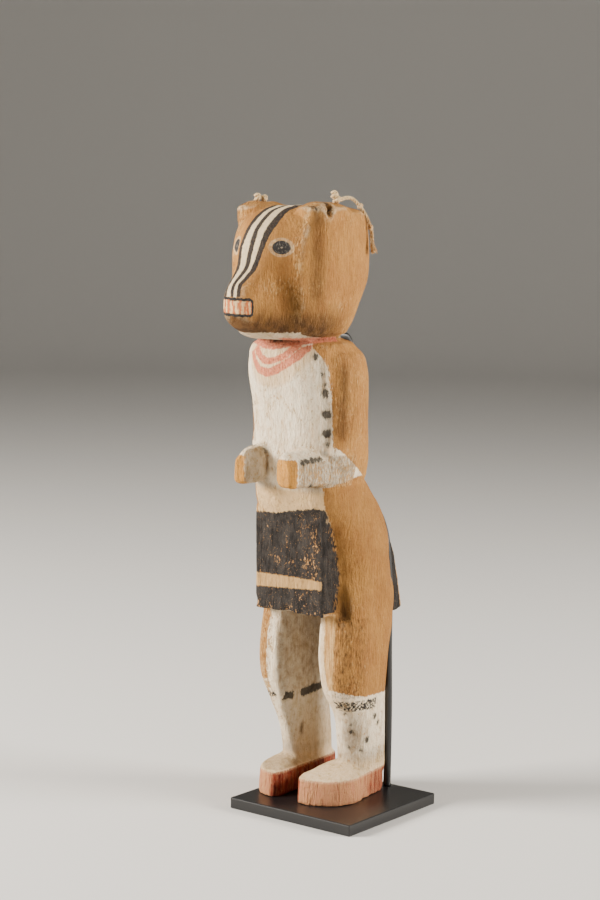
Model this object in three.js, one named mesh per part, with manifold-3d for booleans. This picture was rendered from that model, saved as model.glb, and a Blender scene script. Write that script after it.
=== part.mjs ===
// A kachina doll with a badger's head, carved from one piece of cottonwood root, held by a bent
// steel rod on a square steel plate, with a cotton string knotted through each ear.
// Millimetres, +Z up. The doll faces -Y, so its left side is +X. The origin is the middle of the
// plate's underside.
import * as THREE from 'three';
import { mergeVertices } from 'three/addons/utils/BufferGeometryUtils.js';
import Module from 'manifold-3d';

const wasm = await Module();
wasm.setup();

// --- driving dimensions ---
const gap = 0.3; // kept between pieces that touch
const plate = { side: 65, thick: 5, bevel: 0.6 };
const rod = { radius: 1.7, sides: 12, steps: 44 };
// The rod's middle, above the plate's top: up beside the seat flap, in round the seat to the spine,
// up behind the back and forward into the nape.
const rodRoute = [[9.5, 28, 0], [9.5, 28, 8], [9.4, 27.9, 35], [8.8, 27.5, 66], [8.6, 27.4, 85], [8.2, 27.1, 97],
  [7.6, 26.7, 107], [6.5, 26.2, 115], [3.6, 25.6, 123], [-0.5, 22.9, 131], [-3.6, 19.4, 137.5],
  [-5.8, 15.6, 144], [-6.5, 13.8, 152], [-6.5, 13.5, 175], [-6.5, 13.5, 200.4], [-6.8, 11, 203.2],
  [-8.5, -1, 203.2]];
// A shallow gouged hollow in the seat that the rod lies in, hidden from the front.
const hollow = { radius: 4.5, sides: 12, steps: 16 };
const hollowRoute = [[9.9, 30.4, 62], [9.6, 29.8, 85], [9.1, 29.4, 97], [8.5, 29, 107], [7.3, 28.4, 115.7],
  [4.1, 27.6, 124.4], [-0.3, 24.9, 132.8], [-3.4, 22.4, 140]];
const doll = { middle: -12, ground: plate.thick }; // the carving stands a little to its right
const ringPoints = { trunk: 40, limb: 26, head: 48 }; // points around each carved form

// Heights below are above the plate's top, and x is counted from the doll's middle.
// Each row: height, middle x, middle y, half width, half depth, squareness (2 is an ellipse).
const trunkRows = [
  [88, 0, 13, 26.8, 18, 2.7],
  [97, 0, 11.5, 27, 19.5, 2.7],
  [106, 0, 9.5, 27, 20.6, 2.7],
  [115, 0, 7.8, 26.8, 21.8, 2.7],
  [123, 0, 4.8, 26, 22.2, 2.7],
  [131, 0, -0.6, 25, 22.4, 2.8],
  [137, 0, -4, 23.8, 21.2, 2.8],
  [145, 0, -7.4, 22.4, 19, 2.7],
  [158, 0, -9, 21.8, 18.4, 2.6],
  [176, 0, -10.8, 22.2, 18.8, 2.6],
  [188, 0, -13, 22.6, 19.6, 2.6],
  [195, 0, -14, 22, 19.2, 2.6],
  [199.5, 0, -13.8, 20.4, 17.6, 2.5],
  [203, 0, -13, 17.4, 14.4, 2.1],
  [210, 0, -15, 17, 14, 2.1],
];
// Each row: height, front of the cheeks, back, half width, how far the nose juts out, its half width.
const headRows = [
  [203.2, -40, -6, 13, 1, 9],
  [204.6, -44, 0, 18, 3, 9],
  [207.5, -46, 3, 21.6, 9, 9.6],
  [212, -46, 5.8, 23, 14.6, 10],
  [218, -46, 9.2, 23.8, 16.2, 10],
  [223.5, -46, 11.4, 24.4, 15.4, 9.6],
  [228.5, -46, 12.4, 24.8, 11.2, 9.4],
  [233, -46, 12.8, 25, 7.4, 9.6],
  [242, -45, 12.2, 25, 4.2, 11],
  [250, -41.4, 10.4, 24.8, 2.8, 11],
  [254.6, -37, 7.4, 23.8, 1.8, 11],
  [257.4, -32, 3, 21.6, 0.6, 11],
  [258.8, -25, -5, 15, 0, 11],
];
// Rows as for the trunk, x outward from the doll's middle, for both sides.
const earRows = [
  [236, 15.4, -19, 7, 12, 2.5],
  [249, 16.4, -20.5, 8.2, 13, 2.5],
  [256, 16.8, -21.5, 8, 13, 2.5],
  [259.4, 16.8, -21.5, 6.4, 11, 2.5],
  [261, 16.8, -21.5, 3, 6, 2.3],
];
const upperArmRows = [
  [143, 18.8, -1.6, 4.8, 7.6, 2.6],
  [150, 19, -5.2, 5.9, 12.4, 2.8],
  [165, 19, -6.2, 6, 13, 2.8],
  [180, 18.9, -7, 6, 13.2, 2.8],
  [190, 18.4, -8.2, 5.8, 13, 2.7],
  [196, 17, -10.4, 4.8, 11.6, 2.5],
  [199.4, 15, -11.6, 2.8, 8.4, 2.3],
];
const leftLegRows = [
  [9, 16, 15.4, 7.8, 12.6, 2.5],
  [24, 16, 14.4, 8, 13.4, 2.5],
  [36, 16.2, 12.9, 8.4, 14.2, 2.5],
  [48, 16, 8.6, 10, 17, 2.5],
  [60, 16, 7.6, 11, 17.8, 2.5],
  [78, 16.1, 9, 11.3, 19, 2.5],
  [96, 15.6, 10.6, 10.6, 18.4, 2.5],
  [106, 14, 10, 8, 15, 2.4],
];
const rightLegRows = [
  [9, -13, 14, 6.4, 15, 2.4],
  [20, -13, 13, 6.2, 16, 2.4],
  [34, -13.4, 10, 6.6, 17.5, 2.4],
  [43, -14, 8, 7.2, 18.5, 2.5],
  [52, -15, 6, 8, 19.6, 2.5],
  [60, -15.4, 5.4, 8.4, 20.1, 2.5],
  [78, -15.4, 7.4, 8.6, 20, 2.5],
  [96, -15.6, 10.6, 10.6, 18.4, 2.5],
  [106, -14, 10, 8, 15, 2.4],
];
// Shoe soles, walked from the toe round the outer side: x from the doll's middle, then y.
const leftSole = [[8.6, -21], [17, -19.4], [23.6, -15], [27, -7.5], [25.8, 6], [23, 22], [18.5, 26.6],
  [4, 26.6], [0, 21], [0.6, 8], [3, -6], [6.2, -19]];
const rightSole = [[-5.6, -19.6], [-9, -21], [-17.4, -16.4], [-23, -5], [-22.6, 8], [-19.8, 22],
  [-16, 29.6], [-9, 30.2], [-6.6, 24], [-5.4, 6]];
const shoe = { side: 10.6, instep: 15, instepRun: 15 };
const forearm = { elbow: [19.6, -1], hand: [10.7, -38] };
// Each row: share of the way to the hand, height, half height, half width.
const forearmRows = [
  [0, 144.6, 2.4, 3.4],
  [0.16, 146, 4.6, 5.4],
  [0.36, 148.8, 7.9, 5.9],
  [0.6, 149, 8, 5.7],
  [0.84, 148.6, 7.4, 5.2],
  [0.95, 148.4, 6.4, 4.6],
  [1, 148.4, 4.6, 3.2],
];
const apron = { left: 17.6, right: -20 };
const apronView = [[-18.2, 84], [-8.6, 84], [0, 117], [0, 129], [-19, 129]];
// The kilt's rear flap is a wedge on the seat: its side view, from the hem's outer edge up and round.
const rearFlap = { left: 17.8, right: -20 };
const rearFlapView = [[42.4, 79.6], [39.4, 93], [35.9, 105], [30, 115.5], [23, 122], [15, 118], [15, 96],
  [36, 78.4]];
const string = { radius: 0.875, sides: 8, steps: 14 };
const stringRoute = [[7.2, -14.6, 261.9], [8, -11.6, 262.9], [8.6, -7.6, 262.8], [9.6, -3.6, 260],
  [11, -0.2, 255.4], [12.2, 1.4, 251], [12.8, 1.8, 247.6], [13, 2.4, 240.2]];

// --- materials ---
const wood = new THREE.MeshStandardMaterial({ color: 0xc49a62, roughness: 0.85, metalness: 0 });
const cotton = () => new THREE.MeshStandardMaterial({ color: 0xe4d2b2, roughness: 0.95, metalness: 0 });
const blackSteel = () => new THREE.MeshStandardMaterial({ color: 0x1c1918, roughness: 0.4, metalness: 0.3 });

// --- solids ---
function toSolid(geometry) {
  const bare = geometry.clone();
  for (const name of Object.keys(bare.attributes)) if (name !== 'position') bare.deleteAttribute(name);
  const merged = mergeVertices(bare, 1e-4);
  const vertProperties = new Float32Array(merged.attributes.position.array);
  const triVerts = new Uint32Array(merged.index.array);
  return new wasm.Manifold(new wasm.Mesh({ numProp: 3, vertProperties, triVerts }));
}

function toGeometry(solid) {
  const mesh = solid.getMesh();
  const geometry = new THREE.BufferGeometry();
  geometry.setAttribute('position', new THREE.BufferAttribute(new Float32Array(mesh.vertProperties), 3));
  geometry.setIndex(new THREE.BufferAttribute(new Uint32Array(mesh.triVerts), 1));
  geometry.computeVertexNormals();
  return geometry;
}

const unite = (solids) => solids.reduce((sum, solid) => sum.add(solid));

function namedMesh(name, geometry, material) {
  const mesh = new THREE.Mesh(geometry, material);
  mesh.name = name;
  return mesh;
}

// A closed skin over a stack of rings of the same number of points, low to high.
function skin(rings) {
  const count = rings[0].length;
  const positions = rings.flat().flatMap((p) => [p.x, p.y, p.z]);
  const index = [];
  for (let level = 0; level + 1 < rings.length; level += 1) {
    for (let i = 0; i < count; i += 1) {
      const a = level * count + i;
      const b = level * count + (i + 1) % count;
      index.push(a, b, b + count, a, b + count, a + count);
    }
  }
  const middles = [rings[0], rings[rings.length - 1]].map((ring) => {
    const middle = ring.reduce((sum, p) => sum.add(p), new THREE.Vector3()).divideScalar(count);
    positions.push(middle.x, middle.y, middle.z);
    return positions.length / 3 - 1;
  });
  const last = (rings.length - 1) * count;
  for (let i = 0; i < count; i += 1) {
    const next = (i + 1) % count;
    index.push(middles[0], next, i, middles[1], last + i, last + next);
  }
  const geometry = new THREE.BufferGeometry();
  geometry.setAttribute('position', new THREE.Float32BufferAttribute(positions, 3));
  geometry.setIndex(index);
  return toSolid(geometry);
}

// Smooth rows between the given ones, `steps` for each stretch, by cubic blending.
function smoothRows(rows, steps) {
  const heights = rows.map((row) => row[0]);
  const blend = new THREE.CubicInterpolant(heights, rows.flat(), rows[0].length);
  const out = [];
  for (let i = 0; i + 1 < rows.length; i += 1) {
    for (let s = 0; s < steps; s += 1) {
      out.push([...blend.evaluate(THREE.MathUtils.lerp(heights[i], heights[i + 1], s / steps))]);
    }
  }
  out.push([...rows[rows.length - 1]]);
  return out;
}

const power = (value, exponent) => Math.sign(value) * Math.abs(value) ** exponent;

// A ring between an ellipse and a rectangle, at the doll's place.
function ovalRing([height, x, y, halfWidth, halfDepth, squareness], count = ringPoints.limb) {
  return Array.from({ length: count }, (_, i) => {
    const turn = (i / count) * 2 * Math.PI;
    return new THREE.Vector3(
      doll.middle + x + halfWidth * power(Math.cos(turn), 2 / squareness),
      y + halfDepth * power(Math.sin(turn), 2 / squareness),
      doll.ground + height,
    );
  });
}

// A ring of the head: a rounded block whose front is drawn out into the nose.
function headRing([height, front, back, halfWidth, jut, jutHalfWidth], count = ringPoints.head) {
  return Array.from({ length: count }, (_, i) => {
    const turn = (i / count) * 2 * Math.PI;
    const squareness = Math.sin(turn) < 0 ? 2.4 : 3.1;
    const x = halfWidth * power(Math.cos(turn), 2 / squareness);
    const across = power(Math.sin(turn), 2 / squareness);
    const y = (front + back) / 2 + ((back - front) / 2) * across;
    const push = across < 0 ? jut * Math.exp(-((x / jutHalfWidth) ** 4)) : 0;
    return new THREE.Vector3(doll.middle + x, y - push, doll.ground + height);
  });
}

const carvedForm = (rows, steps, ring = ovalRing) => skin(smoothRows(rows, steps).map((row) => ring(row)));

// A block with a rounded outline in plan, upright between two heights, its top drawn in a little.
function shoeSolid(sole, ankle) {
  const outline = new THREE.CatmullRomCurve3(
    sole.map(([x, y]) => new THREE.Vector3(doll.middle + x, y, doll.ground)), true, 'centripetal');
  const points = outline.getPoints(36).slice(0, 36);
  if (THREE.ShapeUtils.area(points) < 0) points.reverse();
  const middle = new THREE.Vector3(doll.middle + ankle[0], ankle[1], 0);
  const ringAt = (height, shrink) => points.map((p) => {
    const toe = THREE.MathUtils.smoothstep(-p.y, -shoe.instepRun, 14); // 0 at the heel, 1 at the toe
    const drawn = p.clone().lerp(middle, shrink);
    return drawn.setZ(doll.ground + height * (1 - 0.06 * (1 - toe)));
  });
  return skin([ringAt(0, 0), ringAt(shoe.side, 0.02), ringAt(shoe.side + 1.4, 0.12),
    ringAt(shoe.side + 3.4, 0.4), ringAt(shoe.instep, 0.62)]);
}

// A rough carved forearm, level and turned in, from a pointed elbow to a blunt hand.
function forearmSolid(side) {
  const start = new THREE.Vector2(...forearm.elbow);
  const along = new THREE.Vector2(...forearm.hand).sub(start);
  const across = new THREE.Vector2(-along.y, along.x).normalize();
  const rings = forearmRows.map(([share, height, halfHeight, halfWidth]) => {
    const middle = start.clone().addScaledVector(along, share);
    return Array.from({ length: 20 }, (_, i) => {
      const turn = (i / 20) * 2 * Math.PI;
      const out = middle.clone().addScaledVector(across, halfWidth * power(Math.cos(turn), 0.75));
      const rise = halfHeight * power(Math.sin(turn), 0.75);
      return new THREE.Vector3(doll.middle + side * out.x, out.y, doll.ground + height + rise);
    });
  });
  return skin(side > 0 ? rings : rings.map((ring) => ring.reverse()));
}

// A slab whose side view is the given outline of (y, height), drawn out across the doll.
function slabAcross(sideView, left, right) {
  const shape = new THREE.Shape(sideView.map(([y, height]) => new THREE.Vector2(y, height)));
  const slab = new THREE.ExtrudeGeometry(shape, { depth: left - right, bevelEnabled: false });
  slab.rotateX(Math.PI / 2);
  slab.rotateZ(Math.PI / 2);
  slab.translate(doll.middle + right, 0, doll.ground);
  return toSolid(slab);
}

function tube(points, radius, sides, steps) {
  const path = new THREE.CatmullRomCurve3(points, false, 'centripetal');
  const section = new THREE.Shape(Array.from({ length: sides }, (_, i) => new THREE.Vector2(
    radius * Math.cos((i / sides) * 2 * Math.PI), radius * Math.sin((i / sides) * 2 * Math.PI))));
  return new THREE.ExtrudeGeometry(section, { steps, extrudePath: path, bevelEnabled: false });
}

function ball(x, y, height, radii, detail = 20) {
  const sphere = new THREE.SphereGeometry(1, detail, Math.round(detail / 2));
  sphere.scale(...radii);
  sphere.translate(x, y, doll.ground + height);
  return toSolid(sphere);
}

// --- the stand ---
function basePlate() {
  const half = plate.side / 2;
  const levels = [[0, half], [plate.thick - plate.bevel, half], [plate.thick, half - plate.bevel]];
  return toGeometry(skin(levels.map(([z, reach]) => [[-1, -1], [1, -1], [1, 1], [-1, 1]].map(
    ([x, y]) => new THREE.Vector3(x * reach, y * reach, z)))));
}

const routeTube = (route, radius, { sides, steps }) => toSolid(tube(
  route.map(([x, y, height]) => new THREE.Vector3(x, y, plate.thick + height)), radius, sides, steps));

// --- the doll ---
const knots = {
  left_ear_knot: [[7.4, -16.8, 261.6, [1.9, 1.9, 2.2]], [6.4, -17.6, 263, [1.5, 1.5, 2.4]]],
  right_ear_knot: [[-30.2, -23, 262.4, [1.9, 1.9, 2.3]], [-28.2, -20.8, 262, [1.7, 1.7, 2]]],
};
const knotSolid = (balls, grow = 0) => unite(
  balls.map(([x, y, height, radii]) => ball(x, y, height, radii.map((r) => r + grow), 12)));

function dollSolid() {
  const paired = [1, -1].flatMap((side) => [earRows, upperArmRows].map((rows) => carvedForm(
    rows.map(([height, out, ...rest]) => [height, side * out, ...rest]), 2, (row) => ovalRing(row, 20))));
  const body = unite([
    carvedForm(trunkRows, 2, (row) => ovalRing(row, ringPoints.trunk)),
    carvedForm(leftLegRows, 2),
    carvedForm(rightLegRows, 2),
  ]).subtract(routeTube(hollowRoute, hollow.radius, hollow));
  const carving = unite([
    body,
    carvedForm(headRows, 2, headRing),
    shoeSolid(leftSole, [15, 15]),
    shoeSolid(rightSole, [-13, 15]),
    forearmSolid(1),
    forearmSolid(-1),
    slabAcross(apronView, apron.left, apron.right),
    slabAcross(rearFlapView, rearFlap.left, rearFlap.right),
    ...paired,
  ]);
  return Object.values(knots).reduce((wooden, balls) => wooden.subtract(knotSolid(balls, gap)),
    carving.subtract(routeTube(rodRoute, rod.radius + gap, rod)));
}

const kachina = new THREE.Group();
kachina.add(
  namedMesh('base_plate', basePlate(), blackSteel()),
  namedMesh('support_rod', toGeometry(routeTube(rodRoute, rod.radius, rod)), blackSteel()),
  namedMesh('doll', toGeometry(dollSolid()), wood),
  namedMesh('left_ear_string', toGeometry(routeTube(stringRoute, string.radius, string)), cotton()),
  ...Object.entries(knots).map(([name, balls]) => namedMesh(name, toGeometry(knotSolid(balls)), cotton())),
);

export default kachina;
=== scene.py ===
import math

import bmesh
import bpy
import numpy as np
from mathutils import Matrix, Vector, noise


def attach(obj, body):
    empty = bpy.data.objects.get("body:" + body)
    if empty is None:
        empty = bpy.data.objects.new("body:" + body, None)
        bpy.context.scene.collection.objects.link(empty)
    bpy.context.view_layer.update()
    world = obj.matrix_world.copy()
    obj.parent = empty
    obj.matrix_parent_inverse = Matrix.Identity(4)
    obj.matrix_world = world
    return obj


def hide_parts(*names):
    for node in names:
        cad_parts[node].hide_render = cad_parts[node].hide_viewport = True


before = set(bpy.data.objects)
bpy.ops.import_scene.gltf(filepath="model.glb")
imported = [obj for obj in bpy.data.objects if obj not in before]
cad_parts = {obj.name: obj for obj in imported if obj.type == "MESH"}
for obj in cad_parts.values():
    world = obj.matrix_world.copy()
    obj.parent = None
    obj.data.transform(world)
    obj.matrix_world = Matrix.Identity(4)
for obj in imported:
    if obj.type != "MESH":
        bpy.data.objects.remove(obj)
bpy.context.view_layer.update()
middleX, groundZ = -12.0, 5.0  # the doll's middle line and the plate's top, in mm


def hexColour(text):  # an sRGB hex value as the linear colour that the nodes take
    parts = [int(text[i:i + 2], 16) / 255 for i in (1, 3, 5)]
    return tuple(c / 12.92 if c <= 0.04045 else ((c + 0.055) / 1.055) ** 2.4 for c in parts) + (1.0,)


def place(points):  # doll millimetres (from its middle line and the plate's top) to metres
    return (np.asarray(points, float) + [middleX, 0, groundZ]) / 1000


# camera
cameraPose = {"at": (0.50924, -0.70024, 0.25654), "turn": 0.64917, "down": 0.11232, "roll": 0.01889, "lens": 80.0}


def setCamera(pose):
    turn, down, roll = pose["turn"], pose["down"], pose["roll"]
    ahead = Vector((-math.sin(turn) * math.cos(down), math.cos(turn) * math.cos(down), -math.sin(down)))
    right = ahead.cross(Vector((0, 0, 1))).normalized()
    up = right.cross(ahead)
    rightRolled = right * math.cos(roll) + up * math.sin(roll)
    upRolled = up * math.cos(roll) - right * math.sin(roll)
    data = bpy.data.cameras.new("studio_camera")
    data.lens, data.sensor_width, data.clip_start, data.clip_end = pose["lens"], 36, 0.01, 30
    camera = bpy.data.objects.new("studio_camera", data)
    basis = Matrix((rightRolled, upRolled, -ahead)).transposed().to_4x4()
    camera.matrix_world = Matrix.Translation(pose["at"]) @ basis
    bpy.context.collection.objects.link(camera)
    bpy.context.scene.camera = camera


setCamera(cameraPose)
print("camera set")


# small helpers
def addNode(tree, kind, settings=None, **links):  # one node, its settings, and what feeds its inputs
    node = tree.nodes.new(kind)
    for key, value in (settings or {}).items():
        setattr(node, key, value)
    for key, value in links.items():
        byNumber = key[0] == "i" and key[1:].isdigit()
        socket = node.inputs[int(key[1:])] if byNumber else node.inputs[key.replace("_", " ")]
        if isinstance(value, bpy.types.NodeSocket):
            tree.links.new(value, socket)
        else:
            socket.default_value = value
    return node


def newMesh(name, points, faces):
    mesh = bpy.data.meshes.new(name)
    mesh.from_pydata([tuple(p) for p in points], [], [tuple(f) for f in faces])
    mesh.update()
    obj = bpy.data.objects.new(name, mesh)
    bpy.context.collection.objects.link(obj)
    return obj


def ringSkin(rings):  # a closed skin over rings of the same number of points, as points and faces
    count = len(rings[0])
    points = np.concatenate(rings)
    faces = []
    for level in range(len(rings) - 1):
        for i in range(count):
            a, b = level * count + i, level * count + (i + 1) % count
            faces.append((a, b, b + count, a + count))
    ends = len(points)
    points = np.vstack([points, rings[0].mean(0), rings[-1].mean(0)])
    last = (len(rings) - 1) * count
    for i in range(count):
        nextPoint = (i + 1) % count
        faces.append((ends, nextPoint, i))
        faces.append((ends + 1, last + i, last + nextPoint))
    return points, faces


def smoothRows(rows, spacing):  # rows blended by a curve through them, a row every `spacing` of the first column
    rows = np.asarray(rows, float)
    at = rows[:, 0]
    slopes = np.gradient(rows, at, axis=0)
    count = max(2, int(round((at[-1] - at[0]) / spacing)))
    out = []
    for height in np.linspace(at[0], at[-1], count + 1):
        k = min(max(int(np.searchsorted(at, height, "right")) - 1, 0), len(at) - 2)
        span = at[k + 1] - at[k]
        s = (height - at[k]) / span
        a, b, c, d = 2 * s**3 - 3 * s**2 + 1, s**3 - 2 * s**2 + s, 3 * s**2 - 2 * s**3, s**3 - s**2
        out.append(a * rows[k] + b * span * slopes[k] + c * rows[k + 1] + d * span * slopes[k + 1])
    return np.array(out)


def power(value, exponent):
    return np.sign(value) * np.abs(value) ** exponent


def catmull(points, perSpan, closed=False):  # a smooth line through the points
    points = np.asarray(points, float)
    if closed:
        padded = np.vstack([points[-1], points, points[:2]])
    else:
        padded = np.vstack([2 * points[0] - points[1], points, 2 * points[-1] - points[-2]])
    out = []
    for k in range(1, len(padded) - 2):
        p0, p1, p2, p3 = padded[k - 1:k + 3]
        t0 = 0.0
        t1 = t0 + np.linalg.norm(p1 - p0) ** 0.5
        t2 = t1 + np.linalg.norm(p2 - p1) ** 0.5
        t3 = t2 + np.linalg.norm(p3 - p2) ** 0.5
        for t in np.linspace(t1, t2, perSpan, endpoint=False):
            a1 = (t1 - t) / (t1 - t0) * p0 + (t - t0) / (t1 - t0) * p1
            a2 = (t2 - t) / (t2 - t1) * p1 + (t - t1) / (t2 - t1) * p2
            a3 = (t3 - t) / (t3 - t2) * p2 + (t - t2) / (t3 - t2) * p3
            b1 = (t2 - t) / (t2 - t0) * a1 + (t - t0) / (t2 - t0) * a2
            b2 = (t3 - t) / (t3 - t1) * a2 + (t - t1) / (t3 - t1) * a3
            out.append((t2 - t) / (t2 - t1) * b1 + (t - t1) / (t2 - t1) * b2)
    if not closed:
        out.append(points[-1])
    return np.array(out)


def smoothstep(value, low, high):
    t = np.clip((value - low) / (high - low), 0, 1)
    return t * t * (3 - 2 * t)


def noiseAt(points, scale, seed=0.0):  # smooth noise of about -1 to 1, `scale` is the lump size in mm, per axis or one
    scaled = np.asarray(points, float) / scale + seed
    return np.array([noise.noise(Vector(p)) for p in scaled])


def sweepTube(line, radius, sides=20):  # a closed round tube along a line, in mm
    line = np.asarray(line, float)
    tangents = np.gradient(line, axis=0)
    tangents /= np.linalg.norm(tangents, axis=1)[:, None]
    side = np.cross(tangents[0], [0, 1, 0.3])
    rings = []
    for point, tangent in zip(line, tangents):
        side = side - tangent * side.dot(tangent)
        side /= np.linalg.norm(side)
        other = np.cross(tangent, side)
        turn = np.linspace(0, 2 * np.pi, sides, endpoint=False)
        rings.append(point + radius * (np.outer(np.cos(turn), side) + np.outer(np.sin(turn), other)))
    return ringSkin(rings)


def bakeModifiers(obj):  # the evaluated mesh takes the object's place, modifiers gone
    bpy.context.view_layer.update()
    evaluated = obj.evaluated_get(bpy.context.evaluated_depsgraph_get())
    mesh = bpy.data.meshes.new_from_object(evaluated)
    obj.modifiers.clear()
    obj.data = mesh
    return obj


# material helpers
def newMaterial(name):
    material = bpy.data.materials.new(name)
    material.use_nodes = True
    return material, material.node_tree, material.node_tree.nodes["Principled BSDF"]


def pattern(tree, sizes, detail=3.0, rough=0.55, low=0.35, high=0.65, shift=0.0):
    # noise whose lumps are `sizes` mm along x, y and z, stretched to run from 0 to 1 between low and high
    where = addNode(tree, "ShaderNodeTexCoord").outputs["Object"]
    moved = addNode(tree, "ShaderNodeMapping", Vector=where, Scale=[1000 / v for v in sizes], Location=[shift] * 3)
    lumps = addNode(tree, "ShaderNodeTexNoise", {"noise_dimensions": "3D"}, Vector=moved.outputs[0], Scale=1.0,
                    Detail=detail, Roughness=rough)
    return addNode(tree, "ShaderNodeMapRange", {"interpolation_type": "SMOOTHSTEP"}, Value=lumps.outputs["Fac"],
                   From_Min=low, From_Max=high).outputs[0]


def field(tree, name):
    return addNode(tree, "ShaderNodeAttribute", {"attribute_type": "GEOMETRY", "attribute_name": name}).outputs["Fac"]


def calc(tree, operation, a, b=0.0, clamp=False):
    return addNode(tree, "ShaderNodeMath", {"operation": operation, "use_clamp": clamp}, i0=a, i1=b).outputs[0]


def scaled(tree, value, factor, base):  # value times factor, plus base
    return addNode(tree, "ShaderNodeMath", {"operation": "MULTIPLY_ADD"}, i0=value, i1=factor, i2=base).outputs[0]


def edgeOf(tree, value, low, high):  # 0 below low and 1 above high
    return addNode(tree, "ShaderNodeMapRange", {"interpolation_type": "SMOOTHSTEP"}, Value=value, From_Min=low,
                   From_Max=high).outputs[0]


def blend(tree, amount, under, over):
    node = addNode(tree, "ShaderNodeMix", {"data_type": "RGBA", "clamp_factor": True})
    for socket, value in ((node.inputs[0], amount), (node.inputs[6], under), (node.inputs[7], over)):
        if isinstance(value, bpy.types.NodeSocket):
            tree.links.new(value, socket)
        else:
            socket.default_value = hexColour(value) if isinstance(value, str) else value
    return node.outputs[2]


# cotton string and knots
cotton = {
    "strands": 3, "strandRadius": 0.00044, "twistRadius": 0.00043, "turnsPerMetre": 210.0,
    "clean": "#EBD3A4", "soiled": "#B07B3C",
    # absolute x, y and height above the plate, in mm
    "route": [[7.2, -14.6, 261.9], [8, -11.6, 262.9], [8.6, -7.6, 262.8], [9.6, -3.6, 260], [11, -0.2, 255.4],
              [12.2, 1.4, 251], [12.8, 1.8, 247.6], [13, 2.4, 240.2]],
    # each clump of a knot: middle, half sizes
    "leftKnot": [((7.4, -16.8, 262.2), (2.0, 2.0, 1.7)), ((6.6, -17.4, 264.2), (1.6, 1.7, 1.8))],
    "rightKnot": [((-30.2, -23, 262.7), (1.7, 1.7, 1.9)), ((-28.2, -20.8, 262.3), (1.5, 1.5, 1.7))],
    "smallKnot": [((9.75, -3.2, 259.7), (1.55, 1.55, 1.45)), ((12.2, 1.3, 250.8), (1.5, 1.5, 1.4))],
    "fibres": 48, "fibreRadius": 0.0001, "seed": 7,
}


def twistGroup():  # plies wound round a path: a profile of small circles that turns as it is swept
    tree = bpy.data.node_groups.new("twisted_string", "GeometryNodeTree")
    sockets = {}
    for name, kind in (("Path", "Geometry"), ("Strands", "Int"), ("Strand radius", "Float"), ("Twist radius", "Float"),
                       ("Turns per metre", "Float"), ("Material", "Material")):
        sockets[name] = tree.interface.new_socket(name, in_out="INPUT", socket_type="NodeSocket" + kind).identifier
    tree.interface.new_socket("String", in_out="OUTPUT", socket_type="NodeSocketGeometry")
    given = addNode(tree, "NodeGroupInput")
    line = addNode(tree, "GeometryNodeMeshToCurve", Mesh=given.outputs["Path"])
    far = addNode(tree, "GeometryNodeSplineParameter").outputs["Length"]
    turns = addNode(tree, "ShaderNodeMath", {"operation": "MULTIPLY"}, i0=far, i1=given.outputs["Turns per metre"])
    angle = addNode(tree, "ShaderNodeMath", {"operation": "MULTIPLY"}, i0=turns.outputs[0], i1=2 * math.pi)
    tilted = addNode(tree, "GeometryNodeSetCurveTilt", Curve=line.outputs[0], Tilt=angle.outputs[0])
    spots = addNode(tree, "GeometryNodeMeshCircle", Vertices=given.outputs["Strands"],
                    Radius=given.outputs["Twist radius"])
    ply = addNode(tree, "GeometryNodeCurvePrimitiveCircle", Resolution=9, Radius=given.outputs["Strand radius"])
    plies = addNode(tree, "GeometryNodeInstanceOnPoints", Points=spots.outputs[0], Instance=ply.outputs[0])
    profile = addNode(tree, "GeometryNodeRealizeInstances", Geometry=plies.outputs[0])
    swept = addNode(tree, "GeometryNodeCurveToMesh", i0=tilted.outputs[0], i1=profile.outputs[0])
    swept.inputs["Fill Caps"].default_value = True
    real = addNode(tree, "GeometryNodeRealizeInstances", Geometry=swept.outputs[0])
    coated = addNode(tree, "GeometryNodeSetMaterial", Geometry=real.outputs[0], Material=given.outputs["Material"])
    addNode(tree, "NodeGroupOutput", i0=coated.outputs[0])
    return tree, sockets


def cottonMaterial():
    # Hand-twisted cotton: fuzzy and matt, cream where it is clean and tan where it has been handled.
    material, tree, shader = newMaterial("handled_cotton_string")
    where = addNode(tree, "ShaderNodeTexCoord").outputs["Object"]
    height = addNode(tree, "ShaderNodeSeparateXYZ", Vector=where).outputs["Z"]
    low = addNode(tree, "ShaderNodeMapRange", Value=height, From_Min=0.2685, From_Max=0.257).outputs[0]
    blotch = pattern(tree, (1.2, 1.2, 1.2), 3, 0.6, 0.35, 0.7, 2.2)
    soiling = calc(tree, "MULTIPLY", calc(tree, "ADD", calc(tree, "MULTIPLY", low, 0.55), 0.3), calc(
        tree, "ADD", blotch, 0.45), clamp=True)
    tree.links.new(blend(tree, soiling, cotton["clean"], cotton["soiled"]), shader.inputs["Base Color"])
    shader.inputs["Roughness"].default_value = 0.95
    shader.inputs["Specular IOR Level"].default_value = 0.2
    shader.inputs["Sheen Weight"].default_value = 0.25
    hairs = pattern(tree, (0.25, 0.25, 0.25), 2, 0.6, 0.3, 0.7)
    bump = addNode(tree, "ShaderNodeBump", Strength=0.6, Distance=0.0002, Height=hairs)
    tree.links.new(bump.outputs[0], shader.inputs["Normal"])
    return material


twist, twistSockets = twistGroup()
cottonLook = cottonMaterial()


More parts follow.
